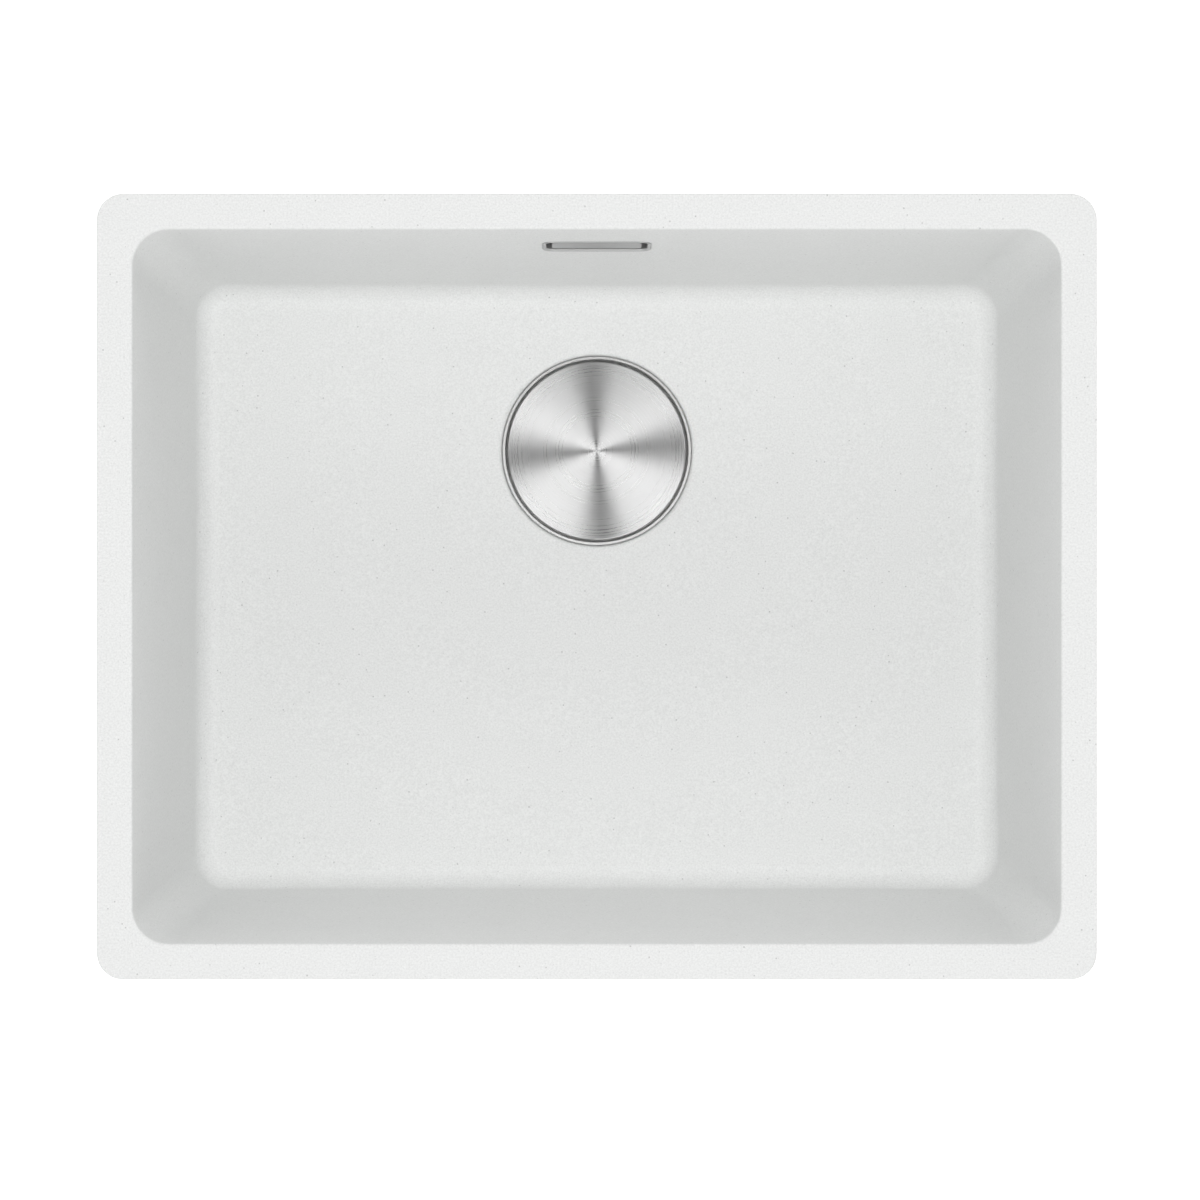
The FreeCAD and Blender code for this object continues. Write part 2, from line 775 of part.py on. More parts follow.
def wedge(half_length, top, bottom, top_depth, bottom_depth, end_round):
    """The housing's box: flat at the wall, deeper at the bottom, rounded along its back and its ends."""
    profile = rounded_wire(
        [
            (top, housing_face, 0),
            (top, housing_face - top_depth, housing_edge_round),
            (bottom, housing_face - bottom_depth, housing_edge_round),
            (bottom, housing_face, 0),
        ],
        lambda p: V(-half_length, p.x, p.y),
    )
    box = Part.Face(profile).extrude(ACROSS * (2 * half_length))
    outline = block(2 * half_length, top - bottom, end_round, housing_face - bottom_depth, housing_face)
    outline.translate(V(0, (top + bottom) / 2, 0))
    return box.common(outline)


def housing_ribs(outer_top):
    """Upright ribs on the housing's sloping back, that follow its slope and run out at both ends."""
    high = outer_top - housing_end_round
    low = housing_bottom + housing_end_round
    slope = (housing_bottom_depth - housing_top_depth) / (outer_top - housing_bottom)
    ribs = []
    for i in range(housing_rib_count):
        x = (i - (housing_rib_count - 1) / 2) * housing_rib_pitch - housing_rib_thickness / 2
        depths = [housing_face - housing_top_depth - (outer_top - y) * slope for y in (high, low)]
        profile = Part.makePolygon([
            V(x, high, depths[0] + housing_wall),
            V(x, high, depths[0]),
            V(x, high - housing_rib_height, depths[0] - housing_rib_height),
            V(x, low + housing_rib_height, depths[1] - housing_rib_height),
            V(x, low, depths[1]),
            V(x, low, depths[1] + housing_wall),
            V(x, high, depths[0] + housing_wall),
        ])
        ribs.append(Part.Face(profile).extrude(ACROSS * housing_rib_thickness))
    return ribs


def pipe_socket(shape_radius, start, stop):
    """A cylinder down the back of the wall on the overflow pipe's axis, between two heights."""
    return Part.makeCylinder(shape_radius, start - stop, V(0, start, -pipe_offset), BACK * -1)


def overflow_housing():
    """The moulded housing: flange, wedge-shaped box, screw post and the socket for the pipe."""
    length = hole_length + 2 * overflow_seal_band
    height = hole_height + 2 * overflow_seal_band
    corner = hole_corner + overflow_seal_band
    flange = block(length, height, corner, housing_face - housing_flange_thickness, housing_face)
    half = hole_length / 2
    inner_top = hole_height / 2
    outer_top = inner_top + housing_wall
    outer = wedge(
        half + housing_wall,
        outer_top,
        housing_bottom,
        housing_top_depth,
        housing_bottom_depth,
        housing_end_round,
    )
    inner = wedge(
        half,
        inner_top,
        -inner_top,
        housing_top_depth - housing_wall,
        housing_bottom_depth - housing_wall,
        housing_end_round - housing_wall,
    )
    post = cylinder(post_radius, housing_face - housing_bottom_depth, housing_face - post_tip_gap).common(outer)
    socket = pipe_socket(socket_radius, housing_bottom + housing_wall, housing_bottom - socket_length)
    body = flange.fuse([outer, socket] + housing_ribs(outer_top)).cut(inner).fuse(post)
    insert_low = housing_face - post_tip_gap - overflow_insert_length
    socket_end = housing_bottom - socket_length
    body = body.cut([
        pipe_socket(pipe_radius - pipe_wall, -inner_top + overrun, socket_end),
        pipe_socket(socket_bore, socket_end + socket_depth, socket_end - overrun),
        cylinder(overflow_insert_radius, insert_low, housing_face),
    ])
    return on_wall(body)


def overflow_insert():
    """The brass insert in the housing's post."""
    high = housing_face - post_tip_gap
    inner = overflow_screw_radius + thread_clearance
    outer = overflow_insert_radius - insert_clearance
    return on_wall(ring(inner, outer, high - overflow_insert_length, high))


# The overflow pipe, in the plane of symmetry

def pipe_ends():
    """The pipe's upper end, corner and lower end in the sink's frame, with the two run directions."""
    down = overflow_turn.multVec(V(0, -1, 0))
    depth = housing_bottom - socket_length + socket_depth
    upper = overflow_placement.multVec(V(0, depth, -pipe_offset))
    level = waste_place.z - port_drop
    corner = upper + down * ((upper.z - level) / -down.z)
    lower = V(0, waste_place.y + port_reach - socket_depth, level)
    return upper, corner, lower, down


def overflow_pipe():
    """The rigid pipe: down the back of the bowl, one bend, and forward to the waste body."""
    upper, corner, lower, down = pipe_ends()
    forward = V(0, -1, 0)
    turn = down.getAngle(forward)
    run = pipe_bend * math.tan(turn / 2)
    start = corner - down * run
    stop = corner + forward * run
    toward = (forward - down).normalize()
    middle = corner + toward * (pipe_bend / math.cos(turn / 2) - pipe_bend)
    path = Part.Wire([
        Part.LineSegment(upper, start).toShape(),
        Part.Arc(start, middle, stop).toShape(),
        Part.LineSegment(stop, lower).toShape(),
    ])
    tubes = []
    for radius in (pipe_radius, pipe_radius - pipe_wall):
        section = Part.Wire(Part.makeCircle(radius, upper, down))
        tubes.append(path.makePipeShell([section], True, True))
    return tubes[0].cut(tubes[1])


def union_nut():
    """A ribbed union nut on the Z axis, its closed end down, screwed up over a socket that ends at 0."""
    low = -union_seal_height - union_lip
    nut = turned([
        (socket_bore, low, 0),
        (union_radius, low, union_lip / 2),
        (union_radius, low + union_length, union_lip / 2),
        (union_bore, low + union_length, 0),
        (union_bore, -union_seal_height, 0),
        (socket_bore, -union_seal_height, 0),
    ])
    rib = cylinder(union_rib_radius, low + union_lip, low + union_length - union_lip)
    rib.translate(V(union_radius - union_rib_radius / 4, 0, 0))
    return nut.fuse(around(rib, union_rib_count))


def union_seal():
    """The tapered rubber seal between a socket's end and its nut's lip."""
    return turned([
        (socket_bore - socket_clearance, -union_seal_height, 0),
        (socket_radius, -union_seal_height, 0),
        (socket_radius, -union_seal_height / 3, 0),
        (socket_bore, 0, 0),
        (socket_bore - socket_clearance, 0, 0),
    ])


def at_upper_socket(shape):
    """Puts a nut or seal on the housing's socket."""
    end = V(0, housing_bottom - socket_length, -pipe_offset)
    shape.Placement = FreeCAD.Placement(end, FreeCAD.Rotation(UP, BACK))
    return on_wall(shape)


def at_lower_socket(shape):
    """Puts a nut or seal on the waste body's port."""
    shape.Placement = FreeCAD.Placement(V(0, port_reach, -port_drop), FreeCAD.Rotation(UP, V(0, -1, 0)))
    return on_waste(shape)


os.makedirs("parts", exist_ok=True)
export(bowl(), "bowl")
export(threaded_inserts(), "threaded_inserts")
export(strainer_housing(), "strainer_housing")
export(waste_flange_seal(), "waste_flange_seal")
export(waste_body_seal(), "waste_body_seal")
export(waste_body(), "waste_body")
export(centre_nut(), "centre_nut")
export(centre_screw(), "centre_screw")
export(strainer_basket(), "strainer_basket")
export(basket_stopper(), "basket_stopper")
export(basket_washer(), "basket_washer")
export(basket_stem(), "basket_stem")
export(basket_knob(), "basket_knob")
export(cover_disc(), "cover_disc")
export(cover_carrier(), "cover_carrier")
export(overflow_frame(), "overflow_frame")
export(overflow_plate(), "overflow_plate")
export(overflow_screw(), "overflow_screw")
export(overflow_seal(), "overflow_seal")
export(overflow_housing(), "overflow_housing")
export(overflow_insert(), "overflow_insert")
export(overflow_pipe(), "overflow_pipe")
export(at_upper_socket(union_nut()), "upper_union_nut")
export(at_upper_socket(union_seal()), "upper_union_seal")
export(at_lower_socket(union_nut()), "lower_union_nut")
export(at_lower_socket(union_seal()), "lower_union_seal")
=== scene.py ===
import json
import math

import bmesh
import bpy
from mathutils import Matrix, Vector


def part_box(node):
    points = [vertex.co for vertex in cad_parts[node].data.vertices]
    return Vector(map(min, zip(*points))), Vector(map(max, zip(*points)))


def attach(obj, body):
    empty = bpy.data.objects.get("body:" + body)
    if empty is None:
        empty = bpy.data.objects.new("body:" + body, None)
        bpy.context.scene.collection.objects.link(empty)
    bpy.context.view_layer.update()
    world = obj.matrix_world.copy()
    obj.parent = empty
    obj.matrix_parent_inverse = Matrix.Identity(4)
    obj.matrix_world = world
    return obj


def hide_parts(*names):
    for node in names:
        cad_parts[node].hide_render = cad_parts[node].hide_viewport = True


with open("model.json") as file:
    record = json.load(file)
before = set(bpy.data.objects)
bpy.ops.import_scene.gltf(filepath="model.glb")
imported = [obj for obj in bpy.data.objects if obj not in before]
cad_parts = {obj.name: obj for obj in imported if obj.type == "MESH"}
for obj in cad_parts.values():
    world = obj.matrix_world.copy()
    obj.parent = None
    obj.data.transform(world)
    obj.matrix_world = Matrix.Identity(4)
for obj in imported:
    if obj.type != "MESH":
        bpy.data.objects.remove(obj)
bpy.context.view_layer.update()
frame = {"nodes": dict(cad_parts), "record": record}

# Places, in metres. The origin is the centre of the bowl's mouth, on the rim's top plane.
WASTE = Vector((0, 0.083, -0.2))
BACK_OF_MOUTH = 0.2
WALL_LEAN = math.radians(5.0)
OVERFLOW_DROP = 0.0545
OVERFLOW_CENTRE = (0, BACK_OF_MOUTH - OVERFLOW_DROP * math.tan(WALL_LEAN), -OVERFLOW_DROP)
OVERFLOW = Matrix.Translation(OVERFLOW_CENTRE) @ Matrix.Rotation(math.pi / 2 - WALL_LEAN, 4, "X")
BOSSES = ((0.160, 0.2125), (0.2725, 0.110))
FLOOR_LEVEL = -0.3055
FLOOR_REACH = 6.0

# Camera: height, angle of view and shift of the picture
CAMERA_HEIGHT = 2.159
CAMERA_ANGLE = math.radians(17.68)
SHIFT = (0.00267, -0.01117)

# Threads, in metres: radius of crest and root, pitch, and steps in a turn; and the length of each thread
OUTLET_THREAD = {"crest": 0.0239, "root": 0.02242, "pitch": 0.002309, "steps": 64}
CENTRE_THREAD = {"crest": 0.003, "root": 0.00246, "pitch": 0.001, "steps": 32}
OVERFLOW_THREAD = {"crest": 0.0025, "root": 0.0021, "pitch": 0.0008, "steps": 32}
INSERT_THREAD = {"crest": 0.0021, "root": 0.0025, "pitch": 0.0008, "steps": 32}
OUTLET_THREAD_LENGTH = 0.0255
CENTRE_THREAD_LENGTH = 0.0165
OVERFLOW_THREAD_SPAN = (-0.023, -0.0058)
RIDGE_SHARES = (0.08, 0.42, 0.58, 0.92)
RUN_OUT_SHARE = 0.6

# Mesh work: how near points merge, how far a thread's foot goes in, and where an edge turns sharp
MERGE = 1e-6
SKIN = 0.00005
SHARP_ANGLE = math.radians(35.0)

# Colours
GRANITE = (0.824, 0.831, 0.8245, 1.0)
TURNED_STEEL = (0.56, 0.56, 0.56, 1.0)
BRUSHED_STEEL = (0.48, 0.48, 0.48, 1.0)
# The overflow frame's steel is the plate's brushed steel made lighter: a painted highlight that stands in
# for the overhead light the frame reflects
FRAME_STEEL_PAINTED_HIGHLIGHT = (0.55, 0.55, 0.55, 1.0)
SHEET_STEEL = (0.56, 0.56, 0.556, 1.0)
MATT_STEEL = (0.60, 0.60, 0.597, 1.0)
BRASS = (0.70, 0.51, 0.24, 1.0)
RUBBER = (0.028, 0.028, 0.029, 1.0)
GREY_PLASTIC = (0.27, 0.285, 0.295, 1.0)
DARK_PLASTIC = (0.022, 0.022, 0.024, 1.0)

# Noise: its detail and roughness, and the reach of its middle values
NOISE_DETAIL = 3.0
NOISE_ROUGHNESS = 0.6
NOISE_REACH = (0.3, 0.7)

# Grain, in metres and as shares: the granite's ground and flecks, and the brush lines of the steel
GRAIN_SPACING = 0.0011
CLOUD_SPACING = 0.022
FLECK_SPACING = 0.0075
FLECK_RADIUS = 0.0006
FLECK_SHADE = 0.66
DUST_SPACING = 0.0036
DUST_RADIUS = 0.00042
DUST_SHADE = 0.85
LINE_OFFSET = (0.0, 0.0004, 0.0007)
FINE_LINE_SHARE = 0.65
BROAD_LINE_FACTOR = 5.0
LINE_SWAY = 4.0
LINE_SWAY_DETAIL = 1.0
LINE_TURNS = 12.0
ALL_AXES = (1.0, 1.0, 1.0)
LINE_STRETCH = 0.01
BRUSHED_RUN = (1.0, 0.01, 0.02)

# Light for the granite: where the surround's bands meet, in degrees up, and how bright each is
BANDS = (10.0, 32.0, 54.0, 78.0)
LOW_LIGHT = 0.99
FRONT_LIGHT = 1.55
BACK_LIGHT = 1.22
SIDE_LIGHT = 0.58
CEILING_LIGHT = 0.68
LAMP_POWER = 37.5
LAMP_SIZE = 0.8
LAMP_HEIGHT = 3.0

# Light that metal sees instead: four cards with gaps between them, a low glow and a weak spot overhead
CARD_BAND = (30.0, 60.0, 80.0)
CARD_EDGE = (0.1, 0.65)
CARD_TURN = math.radians(4.0)
CARD_LIGHT = 4.58
LOW_GLOW_BAND = (28.0, 8.0)
FRONT_GLOW = 2.4
BACK_GLOW = 0.8
OVERHEAD_BAND = (78.0, 86.0)
OVERHEAD_LIGHT = 0.5

# The floor's own colour, and the glow that keeps it white in the picture
FLOOR_COLOR = (0.8, 0.8, 0.8, 1.0)
FLOOR_GLOW = 0.62
WHITE = (1.0, 1.0, 1.0, 1.0)

# Keeps a vector's level part alone
LEVEL = (1.0, 1.0, 0.0)

SLOT_OF = {part["node"]: part["material_slot"] for part in frame["record"]["subparts"]}
BODY_OF = {node: body for body, nodes in frame["record"]["behaviour"]["bodies"].items() for node in nodes}


# Small helpers for shader trees

VECTOR = "NodeSocketVector"
NUMBER = "NodeSocketFloat"
COLOR = "NodeSocketColor"


def new_material(name):
    """An empty material with its output and a Principled shader."""
    material = bpy.data.materials.new(name)
    material.use_nodes = True
    tree = material.node_tree
    tree.nodes.clear()
    output = tree.nodes.new("ShaderNodeOutputMaterial")
    shader = tree.nodes.new("ShaderNodeBsdfPrincipled")
    tree.links.new(shader.outputs["BSDF"], output.inputs["Surface"])
    return material, tree, shader


def new_group(name, inputs, outputs):
    """An empty shader group with named sockets, where its inputs come in and where its outputs go out."""
    group = bpy.data.node_groups.new(name, "ShaderNodeTree")
    for label, kind in inputs:
        group.interface.new_socket(label, in_out="INPUT", socket_type=kind)
    for label, kind in outputs:
        group.interface.new_socket(label, in_out="OUTPUT", socket_type=kind)
    given = group.nodes.new("NodeGroupInput").outputs
    made = group.nodes.new("NodeGroupOutput").inputs
    return group, given, made


def add(tree, kind, settings=None, **inputs):
    """A node with its properties and its inputs, which are sockets to link or plain values."""
    node = tree.nodes.new("ShaderNode" + kind)
    for key, value in (settings or {}).items():
        setattr(node, key, value)
    for key, value in inputs.items():
        socket = node.inputs[int(key[1:])] if key[1:].isdigit() else node.inputs[key.replace("_", " ")]
        if isinstance(value, bpy.types.NodeSocket):
            tree.links.new(value, socket)
        else:
            socket.default_value = value
    return node


def use(tree, group, **inputs):
    """The outputs of a group, placed in a material with its own values."""
    return add(tree, "Group", {"node_tree": group}, **inputs).outputs


def math_node(tree, operation, *values):
    """The output of one Math node."""
    inputs = {f"_{i}": value for i, value in enumerate(values)}
    return add(tree, "Math", {"operation": operation}, **inputs).outputs[0]


def vector_math(tree, operation, *values):
    """The vector output of one Vector Math node."""
    inputs = {f"_{i}": value for i, value in enumerate(values)}
    return add(tree, "VectorMath", {"operation": operation}, **inputs).outputs[0]


def remap(tree, value, low, high, to_low, to_high):
    """A value carried from one range to another, and held at the ends."""
    return add(tree, "MapRange", _0=value, _1=low, _2=high, _3=to_low, _4=to_high).outputs[0]


def noise(tree, place, spacing, detail=NOISE_DETAIL):
    """The plain factor of a noise texture whose blotches lie a given distance apart."""
    scale = math_node(tree, "DIVIDE", 1.0, spacing)
    grade = {"Scale": scale, "Detail": detail, "Roughness": NOISE_ROUGHNESS}
    return add(tree, "TexNoise", Vector=place, **grade).outputs["Fac"]


def drift(tree, factor):
    """A noise factor carried to between -1 and 1."""
    return remap(tree, factor, *NOISE_REACH, -1.0, 1.0)


def specks(tree, place, spacing, radius, shade):
    """A factor that is 1 but for round specks, darkest in their middle."""
    cells = add(tree, "TexVoronoi", Vector=place, Scale=1.0 / spacing)
    share = radius / spacing
    return remap(tree, cells.outputs["Distance"], share / 2, share, shade, 1.0)


def object_place(tree):
    """The point on the piece, in metres."""
    return add(tree, "TexCoord").outputs["Object"]


def facing(tree):
    """The way the surface faces, on the piece's own axes."""
    return add(tree, "TexCoord").outputs["Normal"]


def tint(tree, color, factor):
    """A colour brightened or darkened by a factor."""
    factors = add(tree, "CombineXYZ", X=factor, Y=factor, Z=factor).outputs[0]
    return vector_math(tree, "MULTIPLY", color, factors)


# Effects that several materials share

def uneven_group():
    """Colour and roughness that drift a little over a surface."""
    inputs = (
        ("Place", VECTOR),
        ("Spacing", NUMBER),
        ("Color", COLOR),
        ("Color drift", NUMBER),
        ("Roughness", NUMBER),
        ("Roughness drift", NUMBER),
    )
    group, given, made = new_group("uneven_surface", inputs, (("Color", COLOR), ("Roughness", NUMBER)))
    swing = drift(group, noise(group, given["Place"], given["Spacing"]))
    factor = math_node(group, "MULTIPLY_ADD", swing, given["Color drift"], 1.0)
    rough = math_node(group, "MULTIPLY_ADD", swing, given["Roughness drift"], given["Roughness"])
    group.links.new(tint(group, given["Color"], factor), made["Color"])
    group.links.new(rough, made["Roughness"])
    return group


def skin_group():
    """A fine grain that only the light shows: the skin of a moulding, or the ripple of drawn sheet."""
    inputs = (("Place", VECTOR), ("Spacing", NUMBER), ("Strength", NUMBER), ("Depth", NUMBER))
    group, given, made = new_group("fine_skin", inputs, (("Normal", VECTOR),))
    height = noise(group, given["Place"], given["Spacing"])
    bump = add(group, "Bump", Strength=given["Strength"], Distance=given["Depth"], Height=height)
    group.links.new(bump.outputs[0], made["Normal"])
    return group


def brushed_group():
    """Brush lines, fine ones over broad ones, in colour, roughness and height."""
    inputs = (
        ("Across", VECTOR),
        ("Line width", NUMBER),
        ("Color", COLOR),
        ("Color drift", NUMBER),
        ("Roughness", NUMBER),
        ("Roughness drift", NUMBER),
    )
    outputs = (("Color", COLOR), ("Roughness", NUMBER), ("Height", NUMBER))
    group, given, made = new_group("brushed_lines", inputs, outputs)

    # Even lines, swayed a little by noise
    distance = add(group, "VectorMath", {"operation": "DOT_PRODUCT"}, _0=given["Across"], _1=ALL_AXES)
    passed = math_node(group, "DIVIDE", distance.outputs["Value"], given["Line width"])
    sway_width = math_node(group, "MULTIPLY", given["Line width"], LINE_SWAY)
    sway = noise(group, given["Across"], sway_width, LINE_SWAY_DETAIL)
    swayed = math_node(group, "MULTIPLY", sway, LINE_TURNS)
    fine = math_node(group, "SINE", math_node(group, "MULTIPLY_ADD", passed, math.tau, swayed))

    # Broad streaks under them, and both together
    broad_width = math_node(group, "MULTIPLY", given["Line width"], BROAD_LINE_FACTOR)
    broad = drift(group, noise(group, given["Across"], broad_width))
    rest = math_node(group, "MULTIPLY", broad, 1.0 - FINE_LINE_SHARE)
    lines = math_node(group, "MULTIPLY_ADD", fine, FINE_LINE_SHARE, rest)

    factor = math_node(group, "MULTIPLY_ADD", lines, given["Color drift"], 1.0)
    rough = math_node(group, "MULTIPLY_ADD", lines, given["Roughness drift"], given["Roughness"])
    group.links.new(tint(group, given["Color"], factor), made["Color"])
    group.links.new(rough, made["Roughness"])
    group.links.new(lines, made["Height"])
    return group


UNEVEN = uneven_group()
FINE_SKIN = skin_group()
BRUSHED = brushed_group()


# Materials

def wire_up(tree, shader, finish, normal=None):
    """Joins a finish's colour and roughness, and a normal, to the Principled shader."""
    tree.links.new(finish["Color"], shader.inputs["Base Color"])
    tree.links.new(finish["Roughness"], shader.inputs["Roughness"])
    if normal:
        tree.links.new(normal, shader.inputs["Normal"])


def granite():
    """Quartz and resin: a pale ground of fine grain, sparse dark flecks and dust, and a sandy skin."""
    material, tree, shader = new_material("granite_composite")
    place = object_place(tree)
    clouds = use(
        tree,
        UNEVEN,
        Place=place,
        Spacing=CLOUD_SPACING,
        Color=GRANITE,
        Color_drift=0.006,
        Roughness=0.48,
        Roughness_drift=0.01,
    )
    ground = use(
        tree,
        UNEVEN,
        Place=place,
        Spacing=GRAIN_SPACING,
        Color=clouds["Color"],
        Color_drift=0.085,
        Roughness=clouds["Roughness"],
        Roughness_drift=0.06,
    )
    flecks = specks(tree, place, FLECK_SPACING, FLECK_RADIUS, FLECK_SHADE)
    dust = specks(tree, place, DUST_SPACING, DUST_RADIUS, DUST_SHADE)
    color = tint(tree, ground["Color"], math_node(tree, "MULTIPLY", flecks, dust))
    skin = use(tree, FINE_SKIN, Place=place, Spacing=0.0004, Strength=0.12, Depth=0.0003)
    wire_up(tree, shader, {"Color": color, "Roughness": ground["Roughness"]}, skin["Normal"])
    return material


def turned_steel():
    """Steel brushed in circles round the waste, for the cover."""
    material, tree, shader = new_material("turned_steel")
    offset = vector_math(tree, "SUBTRACT", object_place(tree), (WASTE.x, WASTE.y, 0.0))
    flat = vector_math(tree, "MULTIPLY", offset, LEVEL)
    radius = add(tree, "VectorMath", {"operation": "LENGTH"}, _0=flat).outputs["Value"]
    outwards = add(tree, "CombineXYZ", X=radius).outputs[0]
    finish = use(
        tree,
        BRUSHED,
        Across=vector_math(tree, "ADD", outwards, LINE_OFFSET),
        Line_width=0.0019,
        Color=TURNED_STEEL,
        Color_drift=0.01,
        Roughness=0.34,
        Roughness_drift=0.1,
    )
    bump = add(tree, "Bump", Strength=0.05, Distance=0.0002, Height=finish["Height"])
    wire_up(tree, shader, finish, bump.outputs[0])
    circles = vector_math(tree, "CROSS_PRODUCT", (0.0, 0.0, 1.0), vector_math(tree, "NORMALIZE", flat))
    tree.links.new(vector_math(tree, "CROSS_PRODUCT", circles, facing(tree)), shader.inputs["Tangent"])
    shader.inputs["Metallic"].default_value = 1.0
    shader.inputs["Anisotropic"].default_value = 1.0
    return material


def lengthwise_steel(name, color):
    """Steel brushed along the sink's length, for the overflow."""
    material, tree, shader = new_material(name)
    finish = use(
        tree,
        BRUSHED,
        Across=vector_math(tree, "MULTIPLY", object_place(tree), (LINE_STRETCH, 1.0, 1.0)),
        Line_width=0.0004,
        Color=color,
        Color_drift=0.05,
        Roughness=0.34,
        Roughness_drift=0.06,
    )
    wire_up(tree, shader, finish)
    tree.links.new(vector_math(tree, "CROSS_PRODUCT", BRUSHED_RUN, facing(tree)), shader.inputs["Tangent"])
    shader.inputs["Metallic"].default_value = 1.0
    shader.inputs["Anisotropic"].default_value = 0.6
    return material


def sheet_steel(name, color, roughness):
    """Satin sheet with the faint unevenness that deep drawing leaves."""
    material, tree, shader = new_material(name)
    place = object_place(tree)
    finish = use(
        tree,
        UNEVEN,
        Place=place,
        Spacing=0.004,
        Color=color,
        Color_drift=0.02,
        Roughness=roughness,
        Roughness_drift=0.03,
    )
    ripple = use(tree, FINE_SKIN, Place=place, Spacing=0.011, Strength=0.05, Depth=0.0002)
    wire_up(tree, shader, finish, ripple["Normal"])
    shader.inputs["Metallic"].default_value = 1.0
    return material


def turned_brass():
    """Turned brass, a little dulled."""
    material, tree, shader = new_material("turned_brass")
    finish = use(
        tree,
        UNEVEN,
        Place=object_place(tree),
        Spacing=0.0025,
        Color=BRASS,
        Color_drift=0.09,
        Roughness=0.33,
        Roughness_drift=0.09,
    )
    wire_up(tree, shader, finish)
    shader.inputs["Metallic"].default_value = 1.0
    return material


def black_rubber():
    """Black rubber with a faint bloom."""
    material, tree, shader = new_material("black_rubber")
    finish = use(
        tree,
        UNEVEN,
        Place=object_place(tree),
        Spacing=0.006,
        Color=RUBBER,
        Color_drift=0.3,
        Roughness=0.65,
        Roughness_drift=0.1,
    )
    wire_up(tree, shader, finish)
    return material


def moulded_plastic(name, color, roughness):
    """Moulded plastic with a fine spark-eroded skin."""
    material, tree, shader = new_material(name)
    place = object_place(tree)
    finish = use(
        tree,
        UNEVEN,
        Place=place,
        Spacing=0.033,
        Color=color,
        Color_drift=0.04,
        Roughness=roughness,
        Roughness_drift=0.045,
    )
    skin = use(tree, FINE_SKIN, Place=place, Spacing=0.00045, Strength=0.15, Depth=0.0001)
    wire_up(tree, shader, finish, skin["Normal"])
    return material


MATERIALS = {
    "granite": granite(),
    "brushed_steel": lengthwise_steel("lengthwise_steel", BRUSHED_STEEL),
    "pressed_steel": sheet_steel("pressed_sheet_steel", SHEET_STEEL, 0.30),
    "brass": turned_brass(),
    "seal_rubber": black_rubber(),
    "grey_plastic": moulded_plastic("grey_plastic", GREY_PLASTIC, 0.38),
    "dark_plastic": moulded_plastic("dark_plastic", DARK_PLASTIC, 0.36),
}
OWN_MATERIALS = {
    "cover_disc": turned_steel(),
    # The frame gets the same brushed steel, lightened as a painted highlight
    "overflow_frame": lengthwise_steel("frame_steel_painted_highlight", FRAME_STEEL_PAINTED_HIGHLIGHT),
    "strainer_housing": sheet_steel("matt_sheet_steel", MATT_STEEL, 0.75),
}


def dress(piece, material):
    """Gives a piece its one material."""
    piece.data.materials.clear()
    piece.data.materials.append(material)


for node, finish in SLOT_OF.items():
    dress(frame["nodes"][node], OWN_MATERIALS.get(node, MATERIALS[finish]))


# Screw threads, cut into copies of the pieces that carry them

def merged_copy(node):
    """A CAD node's mesh, merged into one closed skin to be worked on."""
    shape = bmesh.new()
    shape.from_mesh(frame["nodes"][node].data)
    bmesh.ops.remove_doubles(shape, verts=shape.verts, dist=MERGE)
    return shape


def on_cylinder(shape, radius, bottom, top):
    """The points that lie on a cylinder about the Z axis."""
    found = []
    for vert in shape.verts:
        off = abs(math.hypot(vert.co.x, vert.co.y) - radius)
        if off < SKIN and bottom - SKIN < vert.co.z < top + SKIN:
            found.append(vert)
    return found


def ridge(thread, bottom, top):
    """A mesh of one screw ridge about the Z axis, closed, with a run-out at each end."""
    foot = thread["root"] + math.copysign(SKIN, thread["root"] - thread["crest"])
    pitch = thread["pitch"]
    turns = (top - bottom) / pitch - 1
    shape = bmesh.new()
    corners = zip((foot, thread["crest"], thread["crest"], foot), RIDGE_SHARES)
    profile = [shape.verts.new((radius, 0, bottom + share * pitch)) for radius, share in corners]
    outline = [shape.edges.new((profile[i - 1], profile[i])) for i in range(len(profile))]
    bmesh.ops.spin(
        shape,
        geom=profile + outline,
        axis=(0, 0, 1),
        angle=math.tau * turns,
        dvec=(0, 0, pitch / thread["steps"]),
        steps=round(thread["steps"] * turns),
    )
    bmesh.ops.holes_fill(shape, edges=[edge for edge in shape.edges if edge.is_boundary])
    for vert in shape.verts:
        radius = math.hypot(vert.co.x, vert.co.y)
        rise = min(vert.co.z - bottom, top - vert.co.z) / (pitch * RUN_OUT_SHARE)
        vert.co.xy *= (foot + (radius - foot) * min(max(rise, 0.0), 1.0)) / radius
    mesh = bpy.data.meshes.new("ridge")
    shape.to_mesh(mesh)
    shape.free()
    return mesh


def threaded(node, places, thread, bottom, top):
    """A copy of a node, sunk to the thread's root and given its ridge about each of the places."""
    shape = merged_copy(node)
    wound = ridge(thread, bottom, top)
    for place in places:
        bmesh.ops.transform(shape, matrix=place.inverted(), verts=shape.verts)
        for vert in on_cylinder(shape, thread["crest"], bottom, top):
            vert.co.xy *= thread["root"] / thread["crest"]
        shape.from_mesh(wound)
        bmesh.ops.transform(shape, matrix=place, verts=shape.verts)
    bmesh.ops.recalc_face_normals(shape, faces=shape.faces)
    mesh = bpy.data.meshes.new(node + "_threaded")
    shape.to_mesh(mesh)
    shape.free()
    for face in mesh.polygons:
        face.use_smooth = True
    mesh.set_sharp_from_angle(angle=SHARP_ANGLE)
    piece = bpy.data.objects.new(node + "_threaded", mesh)
    bpy.context.scene.collection.objects.link(piece)
    dress(piece, MATERIALS[SLOT_OF[node]])
    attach(piece, BODY_OF[node])
    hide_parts(node)


